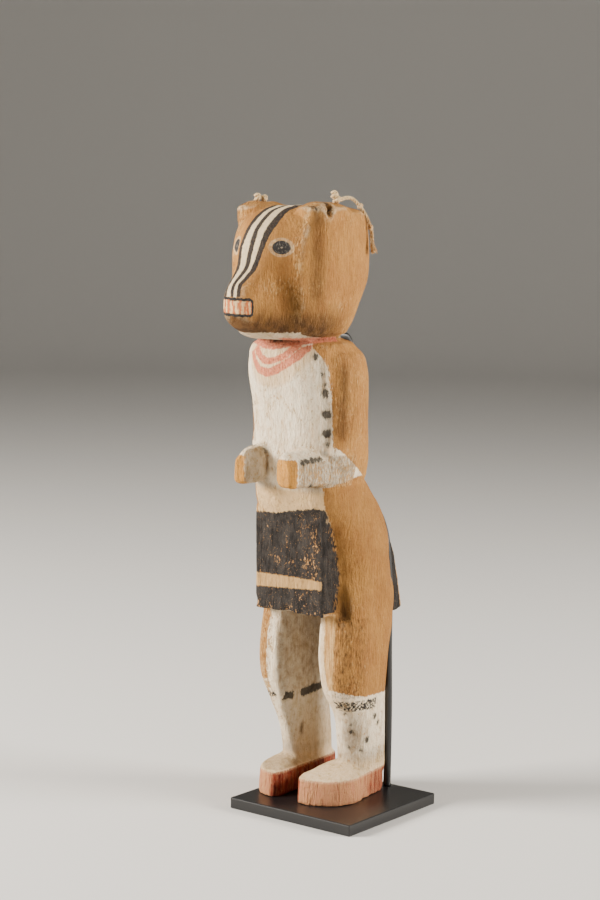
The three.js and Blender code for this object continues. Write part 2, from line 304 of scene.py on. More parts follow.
def twisted(name, lines, radii, strands=None, turns=None):  # lines in doll mm -> one mesh of twisted string in metres
    points, edges = [], []
    for line in lines:
        edges += [(len(points) + i, len(points) + i + 1) for i in range(len(line) - 1)]
        points += [tuple((np.array(p) + [0, 0, groundZ]) / 1000) for p in line]
    mesh = bpy.data.meshes.new(name)
    mesh.from_pydata(points, edges, [])
    obj = bpy.data.objects.new(name, mesh)
    bpy.context.collection.objects.link(obj)
    nodes = obj.modifiers.new("twist", "NODES")
    nodes.node_group = twist
    nodes[twistSockets["Strands"]] = strands or cotton["strands"]
    nodes[twistSockets["Strand radius"]], nodes[twistSockets["Twist radius"]] = radii
    nodes[twistSockets["Turns per metre"]] = cotton["turnsPerMetre"] if turns is None else turns
    nodes[twistSockets["Material"]] = cottonLook
    bakeModifiers(obj)
    for polygon in obj.data.polygons:
        polygon.use_smooth = True
    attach(obj, "root")
    return obj


def clump(middle, half, phase):  # a tangled loop of string that fills an egg shape
    t = np.linspace(0, 2 * np.pi, 90) + phase
    way = np.stack([np.sin(2 * t + 0.4), np.sin(3 * t), np.cos(t + 0.7) * 1.1], 1)
    way /= np.maximum(np.linalg.norm(way, axis=1), 0.9)[:, None]
    return np.array(middle) + way * (np.array(half) - 0.6)


def fibreLines(start, end, seed):  # loose hairs that splay from the end of the string
    rng = np.random.default_rng(seed)
    start, end = np.array(start, float), np.array(end, float)
    lines = []
    for _ in range(cotton["fibres"]):
        lean = rng.normal(0, 0.85, 3) * [1, 1, 0.2] + [0.6, 0, 0]
        share = rng.uniform(0.75, 1.12)
        root = start + rng.normal(0, 0.35, 3) * [1, 1, 0]
        lines.append([root + (end - start) * share * t + lean * t * t for t in np.linspace(0, 1, 7)])
    return lines


stringLine = catmull(cotton["route"], 10)
plyRadii = (cotton["strandRadius"], cotton["twistRadius"])
knotRadii = (0.00043, 0.00036)
earString = twisted("ear_string", [stringLine], plyRadii)
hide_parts("left_ear_string")
leftKnot = twisted("ear_string_knot", [clump(m, h, k * 1.3) for k, (m, h) in enumerate(cotton["leftKnot"])], knotRadii)
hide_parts("left_ear_knot")
rightKnot = twisted("right_ear_string_knot", [clump(m, h, k * 1.7) for k, (m, h) in enumerate(cotton["rightKnot"])],
                    knotRadii)
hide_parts("right_ear_knot")
smallKnots = twisted("string_hitches", [clump(m, h, k) for k, (m, h) in enumerate(cotton["smallKnot"])],
                     (0.00027, 0.00025))
frayedEnd = twisted("string_frayed_end", fibreLines(cotton["route"][-2], cotton["route"][-1], cotton["seed"]),
                    (cotton["fibreRadius"], 0.00007), 3, 60)


# carved form of the doll, in mm
carving = {
    "voxel": 0.85,  # size of the sculpting grid
    "ringPoints": 120,
    "trunk": [[88, 0, 13, 26.8, 18, 2.7], [97, 0, 11.5, 27, 19.5, 2.7], [106, 0, 9.5, 27, 20.6, 2.7],
              [115, 0, 7.8, 26.8, 21.8, 2.7], [123, 0, 4.8, 26, 22.2, 2.7], [131, 0, -0.6, 25, 22.4, 2.8],
              [137, 0, -4, 23.8, 21.2, 2.8], [145, 0, -7.4, 22.4, 19, 2.7], [158, 0, -9, 21.8, 18.4, 2.6],
              [176, 0, -10.8, 22.2, 18.8, 2.6], [188, 0, -13, 22.6, 19.6, 2.6], [195, 0, -14, 22, 19.2, 2.6],
              [199.5, 0, -12.7, 21.4, 19.5, 2.7], [201.8, 0, -12.6, 20, 18, 2.5],
              [203, 0, -13, 17.4, 14.4, 2.1], [210, 0, -15, 17, 14, 2.1]],
    # height, front of the cheeks, back, half width, nose jut, its half width
    "head": [[203.2, -40, -6, 13, 1, 9], [204.6, -44, 0, 18, 3, 9], [207.5, -46, 2, 21.2, 9, 9.6],
             [212, -46, 4.4, 22.6, 14.6, 10], [218, -46, 7.8, 23.4, 16.2, 10], [223.5, -46, 10.6, 24.2, 15.4, 9.6],
             [228.5, -46, 12.4, 24.8, 11.2, 9.4], [233, -46, 12.8, 25, 7.4, 9.6], [242, -45, 12.2, 25, 4.2, 11],
             [250, -41.4, 10.6, 24.9, 2.8, 11], [254.6, -37, 9.0, 24.4, 1.8, 11], [257.8, -32, 6.4, 22.6, 0.6, 11],
             [259.6, -26, 0, 17, 0, 11]],
    "ear": [[236, 14.6, -19, 7, 12, 2.5], [249, 16.0, -20.5, 8, 13, 2.6], [255.6, 16.3, -21.5, 8, 13, 2.6],
            [259.6, 16.4, -21.5, 6.9, 11.6, 2.5], [261.2, 16.4, -21.5, 3.6, 7, 2.3]],
    "upperArm": [[143, 18.8, -1.6, 4.8, 7.6, 2.6], [150, 19, -5.2, 5.9, 12.4, 2.8], [165, 19, -6.2, 6, 13, 2.8],
                 [180, 18.9, -7, 6, 13.2, 2.8], [191, 18.5, -7.6, 6, 13.2, 2.7], [197, 17.4, -9, 5.6, 12.9, 2.6],
                 [201, 15.4, -10.4, 4, 10.6, 2.4]],
    "leftLeg": [[9, 16, 15.4, 7.8, 12.6, 2.5], [24, 16, 14.4, 8, 13.4, 2.5], [36, 16.2, 12.9, 8.4, 14.2, 2.5],
                [48, 16, 8.6, 10, 17, 2.7], [60, 16, 7.6, 11, 17.8, 2.9], [78, 16.1, 9, 11.3, 19, 2.9],
                [96, 15.6, 10.6, 10.6, 18.4, 2.5], [106, 14, 10, 8, 15, 2.4]],
    "rightLeg": [[9, -13, 14, 6.4, 15, 2.4], [20, -13, 13, 6.2, 16, 2.4], [34, -13.4, 10, 6.6, 17.5, 2.4],
                 [43, -14, 8, 7.2, 18.5, 3], [52, -15, 6, 8, 19.6, 3.3], [60, -15.4, 5.4, 8.4, 20.1, 3.4],
                 [78, -15.4, 7.4, 8.6, 20, 3.3], [96, -15.6, 10.6, 10.6, 18.4, 2.5], [106, -14, 10, 8, 15, 2.4]],
    "leftSole": [[8.6, -21], [17, -19.4], [23.6, -15], [27, -7.5], [25.8, 6], [23, 22], [18.5, 26.6],
                 [4, 26.6], [0, 21], [0.6, 8], [3, -6], [6.2, -19]],
    "rightSole": [[-5.6, -19.6], [-9, -21], [-17.4, -16.4], [-23, -5], [-22.6, 8], [-19.8, 22],
                  [-16, 29.6], [-9, 30.2], [-6.6, 24], [-5.4, 6]],
    # share of the way from elbow to hand, height, half height, half width
    "forearm": [[0, 144.6, 2.4, 3.4], [0.16, 146, 4.6, 5.4], [0.36, 148.8, 7.9, 5.9], [0.6, 149, 8.1, 5.9],
                [0.84, 148.5, 7.9, 5.6], [0.96, 148.2, 7.4, 5.2], [1, 148, 6.2, 4.3]],
    # the section of a forearm: outward and up, as shares of the half width and half height
    "forearmSection": [(1, -0.8), (1, 0.36), (0.2, 1), (-0.5, 0.98), (-1, 0.45), (-1, -0.6), (-0.6, -1), (0.75, -1)],
    "elbow": (19.6, -1), "hand": (10.4, -39.2),
    "apron": [[-18.2, 83], [-8.6, 82.8], [0, 117], [0, 129], [-19, 129]],
    "rearFlap": [[42.4, 79.6], [39.4, 93], [35.9, 105], [30, 115.5], [23, 122], [15, 118], [15, 96], [36, 78.4]],
    # the rod that holds the doll, absolute x and y, height above the plate
    "rodRoute": [[9.5, 28, 0], [9.5, 28, 8], [9.4, 27.9, 35], [8.8, 27.5, 66], [8.6, 27.4, 85], [8.2, 27.1, 97],
                 [7.6, 26.7, 107], [6.5, 26.2, 115], [3.6, 25.6, 123], [-0.5, 22.9, 131], [-3.6, 19.4, 137.5],
                 [-5.8, 15.6, 144], [-6.5, 13.8, 152], [-6.5, 13.5, 175], [-6.5, 13.5, 200.4], [-6.8, 11, 203.2],
                 [-8.5, -1, 203.2]],
    "rodRadius": 1.7, "rodGap": 0.3,
    # a shallow hollow in the seat where the rod lies
    "hollowRoute": [[9.9, 30.4, 62], [9.6, 29.8, 85], [9.1, 29.4, 97], [8.5, 29, 107], [7.3, 28.4, 115.7],
                    [4.1, 27.6, 124.4], [-0.3, 24.9, 132.8], [-3.4, 22.4, 140]],
    "hollowRadius": 4.5,
}


def ovalRings(rows, spacing=0.8, sideways=1):
    turn = np.linspace(0, 2 * np.pi, carving["ringPoints"], endpoint=False)
    rings = []
    for height, x, y, halfWidth, halfDepth, squareness in smoothRows(rows, spacing):
        rings.append(np.stack([sideways * x + halfWidth * power(np.cos(turn), 2 / squareness),
                               y + halfDepth * power(np.sin(turn), 2 / squareness),
                               np.full_like(turn, height)], 1))
    return rings


def headRings(rows, spacing=0.6):
    turn = np.linspace(0, 2 * np.pi, 200, endpoint=False)
    exponent = np.where(np.sin(turn) < 0, 2 / 2.4, 2 / 3.1)
    rings = []
    for height, front, back, halfWidth, jut, jutHalf in smoothRows(rows, spacing):
        x = halfWidth * power(np.cos(turn), exponent)
        across = power(np.sin(turn), exponent)
        push = np.where(across < 0, jut * np.exp(-((x / jutHalf) ** 4)), 0)
        rings.append(np.stack([x, (front + back) / 2 + (back - front) / 2 * across - push,
                               np.full_like(turn, height)], 1))
    return rings


def shoeRings(sole, ankle):
    outline = catmull([(x, y, 0) for x, y in sole], 10, closed=True)
    area = sum(a[0] * b[1] - a[1] * b[0] for a, b in zip(outline, np.roll(outline, -1, 0)))
    if area < 0:
        outline = outline[::-1]
    rings = []
    for height, shrink in [(0, 0), (3, 0.004), (6, 0.01), (9, 0.016), (11, 0.02), (11.7, 0.045), (12.2, 0.12),
                           (13, 0.26), (14, 0.4), (15, 0.62)]:
        heel = 1 - smoothstep(-outline[:, 1], -15, 14)
        ring = outline + (np.array([*ankle, 0]) - outline) * shrink
        ring[:, 2] = height * (1 - 0.06 * heel)
        rings.append(ring)
    return rings


def forearmRings(side):
    corners = np.array(carving["forearmSection"] + carving["forearmSection"][:1], float)
    section = np.concatenate([start + np.linspace(0, 1, 9, endpoint=False)[:, None] * (end - start)
                              for start, end in zip(corners[:-1], corners[1:])])
    start, end = np.array(carving["elbow"]), np.array(carving["hand"])
    along = end - start
    across = np.array([-along[1], along[0]]) / np.linalg.norm(along)
    rings = []
    for share, height, halfHeight, halfWidth in smoothRows(carving["forearm"], 0.02):
        out = section[:, 0].copy()
        if side < 0:  # the right hand is whittled away on its inner side
            out = np.where(out < 0, out * (1 - 0.75 * smoothstep(share, 0.8, 1.0)), out)
        plan = start + share * along + np.outer(halfWidth * out, across)
        ring = np.stack([side * plan[:, 0], plan[:, 1], height + halfHeight * section[:, 1]], 1)
        rings.append(ring if side > 0 else ring[::-1])
    return rings


def slab(sideView, right, left):
    loop = [(y, z) for y, z in sideView]
    points = [(x, y, z) for x in (right, left) for y, z in loop]
    n = len(loop)
    faces = [tuple(range(n)), tuple(range(2 * n - 1, n - 1, -1))]
    faces += [(i, i + n, (i + 1) % n + n, (i + 1) % n) for i in range(n)]
    return np.array(points, float), faces


def buildCarving():
    forms = [ringSkin(ovalRings(carving["trunk"])), ringSkin(headRings(carving["head"])),
             ringSkin(ovalRings(carving["leftLeg"])), ringSkin(ovalRings(carving["rightLeg"])),
             ringSkin(shoeRings(carving["leftSole"], (15, 15))), ringSkin(shoeRings(carving["rightSole"], (-13, 15))),
             slab(carving["apron"], -20, 17.6), slab(carving["rearFlap"], -20, 17.8)]
    for side in (1, -1):
        forms += [ringSkin(ovalRings(carving["ear"], sideways=side)),
                  ringSkin(ovalRings(carving["upperArm"], sideways=side)), ringSkin(forearmRings(side))]
    points, faces = [], []
    for formPoints, formFaces in forms:
        base = sum(len(p) for p in points)
        points.append(formPoints)
        faces += [tuple(base + i for i in f) for f in formFaces]
    obj = newMesh("doll_carving", np.concatenate(points), faces)
    bm = bmesh.new()
    bm.from_mesh(obj.data)
    bmesh.ops.recalc_face_normals(bm, faces=bm.faces)
    bm.to_mesh(obj.data)
    bm.free()
    remesh = obj.modifiers.new("grid", "REMESH")
    remesh.mode, remesh.voxel_size, remesh.adaptivity = "VOXEL", carving["voxel"], 0
    return obj


def neighbourMean(values, edges, count, rounds):  # values averaged with their neighbours along the edges
    degree = np.bincount(edges.ravel(), minlength=count).astype(float)
    for _ in range(rounds):
        columns = []
        for column in values.T:
            total = np.bincount(edges[:, 0], column[edges[:, 1]], count)
            total += np.bincount(edges[:, 1], column[edges[:, 0]], count)
            columns.append((column + total / degree) / 2)
        values = np.stack(columns, 1)
    return values


def meshArrays(obj):
    mesh = obj.data
    points = np.zeros(len(mesh.vertices) * 3, np.float32)
    mesh.vertices.foreach_get("co", points)
    edges = np.zeros(len(mesh.edges) * 2, np.int32)
    mesh.edges.foreach_get("vertices", edges)
    normals = np.zeros(len(mesh.vertices) * 3, np.float32)
    mesh.vertex_normals.foreach_get("vector", normals)
    return points.reshape(-1, 3).astype(float), edges.reshape(-1, 2), normals.reshape(-1, 3).astype(float)


def setPoints(obj, points):
    obj.data.vertices.foreach_set("co", np.asarray(points, np.float32).ravel())
    obj.data.update()


def setField(obj, name, values):  # a number for each point, that the materials read by name
    attribute = obj.data.attributes.new(name, "FLOAT", "POINT")
    attribute.data.foreach_set("value", np.asarray(values, np.float32))


def distanceTo(points, line):  # distance of each point to a broken line, and the nearest place on it
    best = np.full(len(points), 1e9)
    nearest = np.zeros_like(points)
    for start, end in zip(line[:-1], line[1:]):
        along = end - start
        t = np.clip((points - start) @ along / (along @ along), 0, 1)
        foot = start + t[:, None] * along
        distance = np.linalg.norm(points - foot, axis=1)
        closer = distance < best
        best[closer], nearest[closer] = distance[closer], foot[closer]
    return best, nearest


def pressIn(points, line, radius):  # points inside a tube are pushed out to its wall
    distance, nearest = distanceTo(points, line)
    inside = distance < radius
    outward = (points[inside] - nearest[inside]) / np.maximum(distance[inside], 1e-6)[:, None]
    points[inside] = nearest[inside] + outward * radius
    return points


def boreNape(obj):  # the blind hole in the nape that the rod's end goes into
    line = catmull(carving["rodRoute"][-4:], 8) + [-middleX, 0, 0]
    cutter = newMesh("nape_bore", *sweepTube(line, carving["rodRadius"] + carving["rodGap"], 32))
    hole = obj.modifiers.new("hole", "BOOLEAN")
    hole.operation, hole.solver, hole.object = "DIFFERENCE", "EXACT", cutter
    bakeModifiers(obj)
    bpy.data.objects.remove(cutter)


# relief: knife facets, grain, chips, and the bruises of age
wearMarks = {
    "facet": 0.42, "ripple": 0.16, "grain": 0.09,  # how deep, in mm
    "apronGap": [[20.6, -14.5, 119.0], [20.8, -12.0, 106.0], [21.4, -7.5, 83.5]],  # undercut behind the apron
    # chips: middle, reach and depth
    "chips": [((23.2, -26.8, 258.8), 1.35, 3.2), ((23.9, -27.4, 256.6), 1.1, 2.8), ((22.2, -25.8, 260.4), 1.3, 2.6),
              ((19.0, -32.6, 258.6), 2.2, 0.5),
              ((14.8, -33.6, 257.6), 2.4, 0.45), ((-8.4, -18.6, 107.6), 2.2, 0.35), ((12.2, -18.8, 117.0), 2.4, 0.4),
              ((14.5, -18.6, 84.8), 2.0, 0.9), ((-2.0, -18.6, 83.6), 2.6, 1.0), ((6.0, -18.6, 83.4), 1.6, 0.8),
              ((-12.0, -18.6, 83.6), 2.0, 0.9), ((-19.5, -18.4, 86), 1.8, 0.7), ((17.6, -18.4, 90), 1.2, 0.5),
              ((20.0, 1.3, 26.0), 2.8, 0.45), ((21.5, 4.0, 21.0), 2.6, 0.4), ((-7.5, 2.0, 19.5), 2.5, 0.5),
              ((-9.0, -3.5, 17.0), 2.4, 0.5), ((-8.8, -8.0, 53.0), 3.0, 0.6), ((-14.5, -14.2, 60.0), 3.5, 0.4),
              ((19.7, -22.0, 155.4), 1.6, 0.35), ((22.5, -14.0, 147.5), 3.0, 0.5), ((23.2, -22.5, 22.0), 1.5, 0.3)],
}


def shapeRelief(points, normals):
    facets = noiseAt(points, np.array([8.0, 8.0, 24.0]))
    facets = np.round(facets * 5) / 5 * 0.6 + facets * 0.4
    relief = wearMarks["facet"] * facets
    relief += wearMarks["ripple"] * noiseAt(points, np.array([3.0, 3.0, 10.0]), 5)
    relief += wearMarks["grain"] * noiseAt(points, np.array([1.5, 1.5, 12.0]), 11)
    relief -= 0.12
    wide, y, z = np.abs(points[:, 0]), points[:, 1], points[:, 2]
    cheek = smoothstep(z, 210, 218) * smoothstep(z, 256, 250) * (y < -27)
    cheek = cheek * np.where(points[:, 0] > 0, 1, 0.35)
    relief += cheek * (1.3 * np.exp(-(((wide - 18.4) / 1.9) ** 2)) - 0.5 * np.exp(-(((wide - 12.5) / 3.6) ** 2)))
    relief -= 0.6 * smoothstep(z, 212, 208) * (z > 203) * smoothstep(y, -20, -40) * smoothstep(z, 203, 206)
    away, _ = distanceTo(points, np.array(wearMarks["apronGap"]))
    relief -= 2.6 * np.exp(-((away / 2.6) ** 2)) * (points[:, 0] > 18.1)
    for middle, reach, depth in wearMarks["chips"]:
        away = np.linalg.norm((points - middle) / [1, 1, 1.3], axis=1)
        relief -= depth * np.exp(-((away / reach) ** 3))
    return points + normals * relief[:, None]


carved = bakeModifiers(buildCarving())
boreNape(carved)
points, edges, normals = meshArrays(carved)
points = neighbourMean(points, edges, len(points), 2)
setPoints(carved, points)
points, edges, normals = meshArrays(carved)
points = shapeRelief(points, normals)
dollShift = np.array([-middleX, 0, 0])
onHead = points[:, 2] > 203.2
lower = np.where(~onHead)[0]
points[lower] = pressIn(points[lower], catmull(carving["hollowRoute"], 6) + dollShift, carving["hollowRadius"])
points[lower] = pressIn(points[lower], catmull(carving["rodRoute"][:15], 6) + dollShift,
                        carving["rodRadius"] + carving["rodGap"])
setPoints(carved, points)
points, edges, normals = meshArrays(carved)
print("carving", len(points), "points", sum(len(p.vertices) - 2 for p in carved.data.polygons), "triangles")

# painted areas: one number a point, in mm and above zero where the paint lies
painting = {
    "chestEdge": [[150, 21.3], [157, 21.5], [166, 21.2], [175, 21.1], [184.6, 21.3], [190.7, 21.1], [195.7, 19.6],
                  [200.5, 16.2], [203, 14.5]],  # height, half width of the white chest
    "sleeveTop": [[-40, 160], [-22, 157.6], [-18, 157.2], [-12, 152.8], [-1.6, 145.8], [0, 144.2]],
    "sleeveLow": [[-40, 138], [-21, 140.6], [-11.4, 142.1], [-2, 144.1], [0, 144.2]],
    "kiltTop": [[-19.3, 126.2], [-8.3, 126.6], [2.6, 128.8], [14.1, 130.7], [17.4, 130]],
    "bandTop": [[-19.4, 99.2], [4.8, 99.3], [17.6, 98.8]],
    "bandLow": [[-19.4, 93.0], [-8.4, 93.6], [4.8, 94.3], [17.6, 95.2]],
    "collarOuter": [[-14.5, 197], [-12.6, 192.4], [-9.8, 188.4], [-4.3, 186.5], [1.6, 188.4], [8.4, 192.0],
                    [12.8, 195.1], [15.8, 198.6], [16.2, 201.5], [12.6, 200.2], [9.0, 196.5], [3.0, 193.0],
                    [-2.9, 190.6], [-7.3, 191.1], [-10.3, 194.1], [-12.2, 198]],
    "collarInner": [[-12.3, 199], [-10.4, 195.6], [-5.9, 192.3], [-1.6, 192.2], [5.2, 194.6], [10.3, 198],
                    [12.6, 201.2], [8, 200.6], [5.5, 198], [0.1, 195.5], [-2.8, 194.9], [-6.2, 196.2],
                    [-8.2, 198.4], [-10.4, 200]],
    "neckLow": [[-14, 200.6], [-7.5, 199], [-0.8, 198.5], [4.3, 199.5], [8.5, 200.4], [15, 201.6], [18, 202.3]],
    # height, then the six edges of the five face stripes, from the doll's right
    "stripeEdges": [[222.4, -4.6, -2.9, -0.5, 1.1, 2.4, 4.1], [226.6, -5.6, -4.1, -2.0, -0.2, 1.1, 3.1],
                    [232.4, -5.4, -3.2, -0.7, 1.3, 2.7, 5.1], [241.8, -7.8, -5.3, -1.4, 1.1, 3.6, 6.1],
                    [251.8, -7.4, -5.1, -1.9, 0.4, 3.9, 7.4], [258, -7.4, -5.2, -2.1, 0.2, 3.8, 7.2]],
    "eyes": [((11.7, -44.0, 241.9), (0.74, 0.67)), ((-13.6, -42.4, 242.2), (0.74, -0.67))],
    "eyeSize": (3.8, 2.8),
    # middle, reach and strength of the small black marks
    "dots": [((17.3, -27.0, 196.4), 1.5, 0.8), ((19.9, -24.9, 188.9), 1.3, 0.35), ((20.0, -22.8, 180.5), 1.8, 1),
             ((20.3, -23.3, 184.5), 0.8, 0.6), ((19.8, -21.1, 171.6), 1.95, 1), ((19.5, -20.4, 163.5), 1.95, 1),
             ((19.5, -19.8, 158.9), 1.2, 0.6), ((24.6, 12.6, 35.5), 1.3, 0.9), ((24.3, 15.6, 32.0), 1.0, 0.5),
             ((23.6, 8.5, 25.5), 1.5, 0.9), ((20.0, 1.3, 29.4), 1.3, 0.7), ((19.9, 0.3, 33.1), 1.1, 0.5),
             ((18.7, -2.0, 37.9), 0.9, 0.6), ((22.6, 5.8, 20.9), 1.5, 0.55), ((18.6, 1.6, 22.8), 1.0, 0.4),
             ((17.4, -31.2, 152.3), 1.5, 1), ((18.2, -28.6, 152.7), 1.5, 1),
             ((18.9, -26.0, 153.1), 1.5, 1), ((19.4, -24.0, 153.3), 1.2, 1), ((16.3, -33.6, 151.6), 1.4, 0.9),
             ((17.8, -29.0, 141.6), 1.2, 0.8), ((-13.5, -29.0, 156.3), 1.2, 0.9), ((-12.5, -31.5, 155.9), 0.9, 0.9),
             ((8.0, -27.3, 157.8), 0.8, 0.6), ((22.6, -26.6, 258.8), 1.7, 1), ((23.3, -27.2, 256.6), 1.5, 1),
             ((21.8, -25.6, 260.4), 1.4, 1),
             ((20.0, -26.0, 261.0), 1.0, 0.8), ((18.0, -27.5, 261.0), 0.9, 0.8),
             ((19.2, -32.6, 258.7), 0.9, 0.9), ((17.0, -33.2, 258.4), 0.7, 0.9), ((15.8, -33.4, 257.8), 0.6, 0.8),
             ((20.8, -32.6, 258.0), 0.7, 0.9), ((3.5, -30.5, 200.0), 0.9, 0.8), ((9.5, -28.5, 202.8), 1.0, 0.8),
             ((-4, -30.6, 202.4), 0.8, 0.9), ((-1.5, -30.8, 202.2), 0.8, 0.9), ((1.5, -30.4, 202.6), 0.9, 1),
             ((5.5, -29.8, 202.8), 0.8, 1), ((12.0, -26.0, 203), 0.9, 0.9)],
}


def lineAt(rows, value):
    rows = np.array(rows, float)
    return np.interp(value, rows[:, 0], rows[:, 1])


def insideOutline(a, b, outline):  # distance to a closed outline in two coordinates, above zero inside
    outline = np.array(outline, float)
    best = np.full(len(a), 1e9)
    inside = np.zeros(len(a), bool)
    for (ax, az), (bx, bz) in zip(outline, np.roll(outline, -1, 0)):
        dx, dz = bx - ax, bz - az
        t = np.clip(((a - ax) * dx + (b - az) * dz) / (dx * dx + dz * dz), 0, 1)
        best = np.minimum(best, np.hypot(a - ax - t * dx, b - az - t * dz))
        inside ^= ((az > b) != (bz > b)) & (a < ax + (b - az) * dx / (dz if abs(dz) > 1e-9 else 1e-9))
    return np.where(inside, best, -best)


def paintAreas(points, normals):
    x, y, z = points.T
    nx, ny, nz = normals.T
    wide = np.abs(x)
    head = (z > 203.4) | ((z > 202) & (y < -30.5))
    areas = {}

    # white clay: chest, throat, sleeves, shins and the fronts of the legs
    chest = np.minimum(lineAt(painting["chestEdge"], z) - wide, -16.8 - y)
    chest = np.where((z > 140.5) & ~head, chest, -5)
    throat = np.where(head, np.minimum.reduce([206.6 - z, 16.5 - wide, y + 50]), -5)
    sleeve = np.minimum(lineAt(painting["sleeveTop"], y) - z, z - lineAt(painting["sleeveLow"], y))
    sleeve = np.where((z > 136) & (z < 160), np.minimum(sleeve, 0.5 - y), -5)
    knee = lineAt([[-12, 50.5], [-4, 47.6], [4, 45.9], [30, 45.4]], y) - z
    legFront = np.where(x > 0, lineAt([[50, 14.6], [60, 12.7], [80, 12.6]], z) - x, x + 15.6)
    legs = np.where(z < 84, np.maximum(knee, legFront), -5)
    waist = np.minimum(18.2 - wide, -14.5 - y)
    waist = np.where((z > 122) & (z < 142), waist, -5)
    areas["whiteClay"] = np.clip(np.maximum.reduce([chest, throat, sleeve, legs, waist]), -5, 5)

    # beige tint over the white: waist, below the collar, shoe tops and the near thigh's side; beige as painted shade on
    # downward faces and on the far leg's low inner side
    beige = 0.95 * smoothstep(z, 140, 137) * smoothstep(z, 120, 124)
    below = insideOutline(x, z, [[-16, 201], [-14, 190], [-10, 183.5], [-2, 181.5], [5, 183.5], [12, 189], [18, 196],
                                 [18, 201]])
    beige = np.maximum(beige, 0.62 * smoothstep(below, -1, 1.6) * (y < -15))
    beige = np.maximum(beige, 0.6 * smoothstep(z, 19, 14))
    # painted shade: beige on downward faces
    beige = np.maximum(beige, 0.35 * smoothstep(nz, -0.2, -0.7))
    beige = np.maximum(beige, 0.6 * (x > 0) * smoothstep(x, 9.5, 11.5) * smoothstep(z, 46, 52) * (z < 84))
    # painted shade: beige on the far leg's low inner side
    beige = np.maximum(beige, 0.5 * smoothstep(z, 40, 20) * (x < -5) * smoothstep(nx, 0.2, 0.8) * smoothstep(y, -4, 4))
    areas["beige"] = np.where(head, 0.25, beige)

    # black kilt: front, near side and rear flap, with the pale band left open
    kiltFront = np.minimum.reduce([lineAt(painting["kiltTop"], x) - z, z - 78, 18.0 - x, x + 20.9])
    kiltFront = np.where((y < lineAt([[84, -6.5], [117, 0]], z)) & ((z > 84.2) | (y < -16.6)), kiltFront, -5)
    # the flap is black on its outer face and sides
    flapFace = lineAt([[78, 34.0], [97, 31.6], [106, 29.4], [115.5, 25.5], [122, 20]], z)
    flap = np.minimum(119.5 - z, y - flapFace)
    flap = np.where((y > 15) & (x < 18.4) & (x > -20.8), flap, -5)
    rim = np.where((y > 15) & (wide > 16), lineAt([[79, 1.5], [93, 1.3], [116, 0.5]], z) - (
        lineAt([[79.6, 42.4], [93, 39.4], [105, 35.9], [115.5, 30]], z) - y), -5)
    flap = np.minimum(flap, -rim)
    band = np.minimum(lineAt(painting["bandTop"], x) - z, z - lineAt(painting["bandLow"], x))
    frontBand = np.where(y < 0, np.where((x < 17.1) & (y < -17.0), band, -1.5), np.where(wide < 17, band, -1.5))
    areas["blackKilt"] = np.clip(np.minimum(np.maximum(kiltFront, flap), -frontBand), -5, 5)
    areas["kiltBand"] = np.clip(np.where((y < -16) | ((y > 30) & (wide < 17)), np.minimum(frontBand, 2.6), -5), -5, 5)

    # pink: collar loops and neck band
    outer = insideOutline(x, z, painting["collarOuter"])
    inner = insideOutline(x, z, painting["collarInner"])
    neck = np.minimum(z - lineAt(painting["neckLow"], x), 18.5 - x)
    neck = np.where(head, np.minimum(204.2 - z, x - 8), neck)
    pink = np.maximum(np.maximum(outer, inner), neck)
    areas["pinkCollar"] = np.clip(np.where((z > 180) & (z < 206) & (y < -12), pink, -5), -5, 5)

    # red shoes: how far below the edge of the upper, and how strong the red is
    shoe = np.minimum(10.9 - z, 3 * (0.9 - nz))
    areas["redShoe"] = np.clip(np.where(z < 16, shoe, -5), -5, 5)
    depth = np.where(x > -1, 0.1 + 0.8 * smoothstep(y, -6, 20), 0.35 + 0.75 * smoothstep(nx, 0.1, 0.5))
    depth = np.where((x > -1) & (nx < -0.3), 1.0, depth)
    areas["redStrength"] = depth

    # ochre hands: past the wrist line on each forearm
    along = np.array(carving["hand"], float) - np.array(carving["elbow"], float)
    along /= np.linalg.norm(along)
    reach = (wide - carving["hand"][0]) * along[0] + (y - carving["hand"][1]) * along[1]
    hand = np.where((z > 136) & (z < 160) & (y < -28), np.minimum(reach + 4.2, 12 - 1.2 * (z - 143)), -5)
    hand = np.where(x < 0, np.minimum(hand, -10.2 - x), hand)
    areas["ochreHand"] = np.clip(hand, -5, 5)

    # face: stripes, eyes and mouth
    rows = np.array(painting["stripeEdges"], float)
    stripe = np.zeros(len(x))
    zz = np.clip(z, rows[0, 0], rows[-1, 0])
    cuts = np.stack([np.interp(zz, rows[:, 0], rows[:, k]) for k in range(1, 7)], 1)
    for k in range(5):
        share = np.clip((x - cuts[:, k]) / (cuts[:, k + 1] - cuts[:, k]), 0, 1)
        stripe += share
    stripe += np.minimum(x - cuts[:, 0], 0) / 2 + np.maximum(x - cuts[:, 5], 0) / 2
    areas["stripeAcross"] = stripe
    crown = smoothstep(y, -13, -24)
    areas["stripeReach"] = np.where(head & (y < -10), np.minimum(np.minimum(z - 221.3, 4), 7 * crown - 3), -5)
    radial = np.full(len(x), 9.0)
    for (ex, ey, ez), (tx, ty) in painting["eyes"]:
        across = (x - ex) * tx + (y - ey) * ty
        into = (x - ex) * ty - (y - ey) * tx
        part = np.hypot(across / painting["eyeSize"][0], (z - ez) / painting["eyeSize"][1])
        radial = np.minimum(radial, np.where(np.abs(into) < 6, part, 9))
    areas["eyeRadial"] = np.clip(radial, 0, 3)
    wrap = wide + np.maximum(0, y + 59.0)
    boxA, boxB = wrap - 9.9 + 2.4, np.abs(z - 217.3 + 0.05 * x) - 3.9 + 2.4
    mouth = 2.4 - (np.hypot(np.maximum(boxA, 0), np.maximum(boxB, 0)) + np.minimum(np.maximum(boxA, boxB), 0))
    areas["mouthIn"] = np.clip(np.where(head & (y < -48), mouth, -5), -5, 5)
    areas["mouthAcross"] = np.where(y < -48, wrap * np.sign(x), 0)

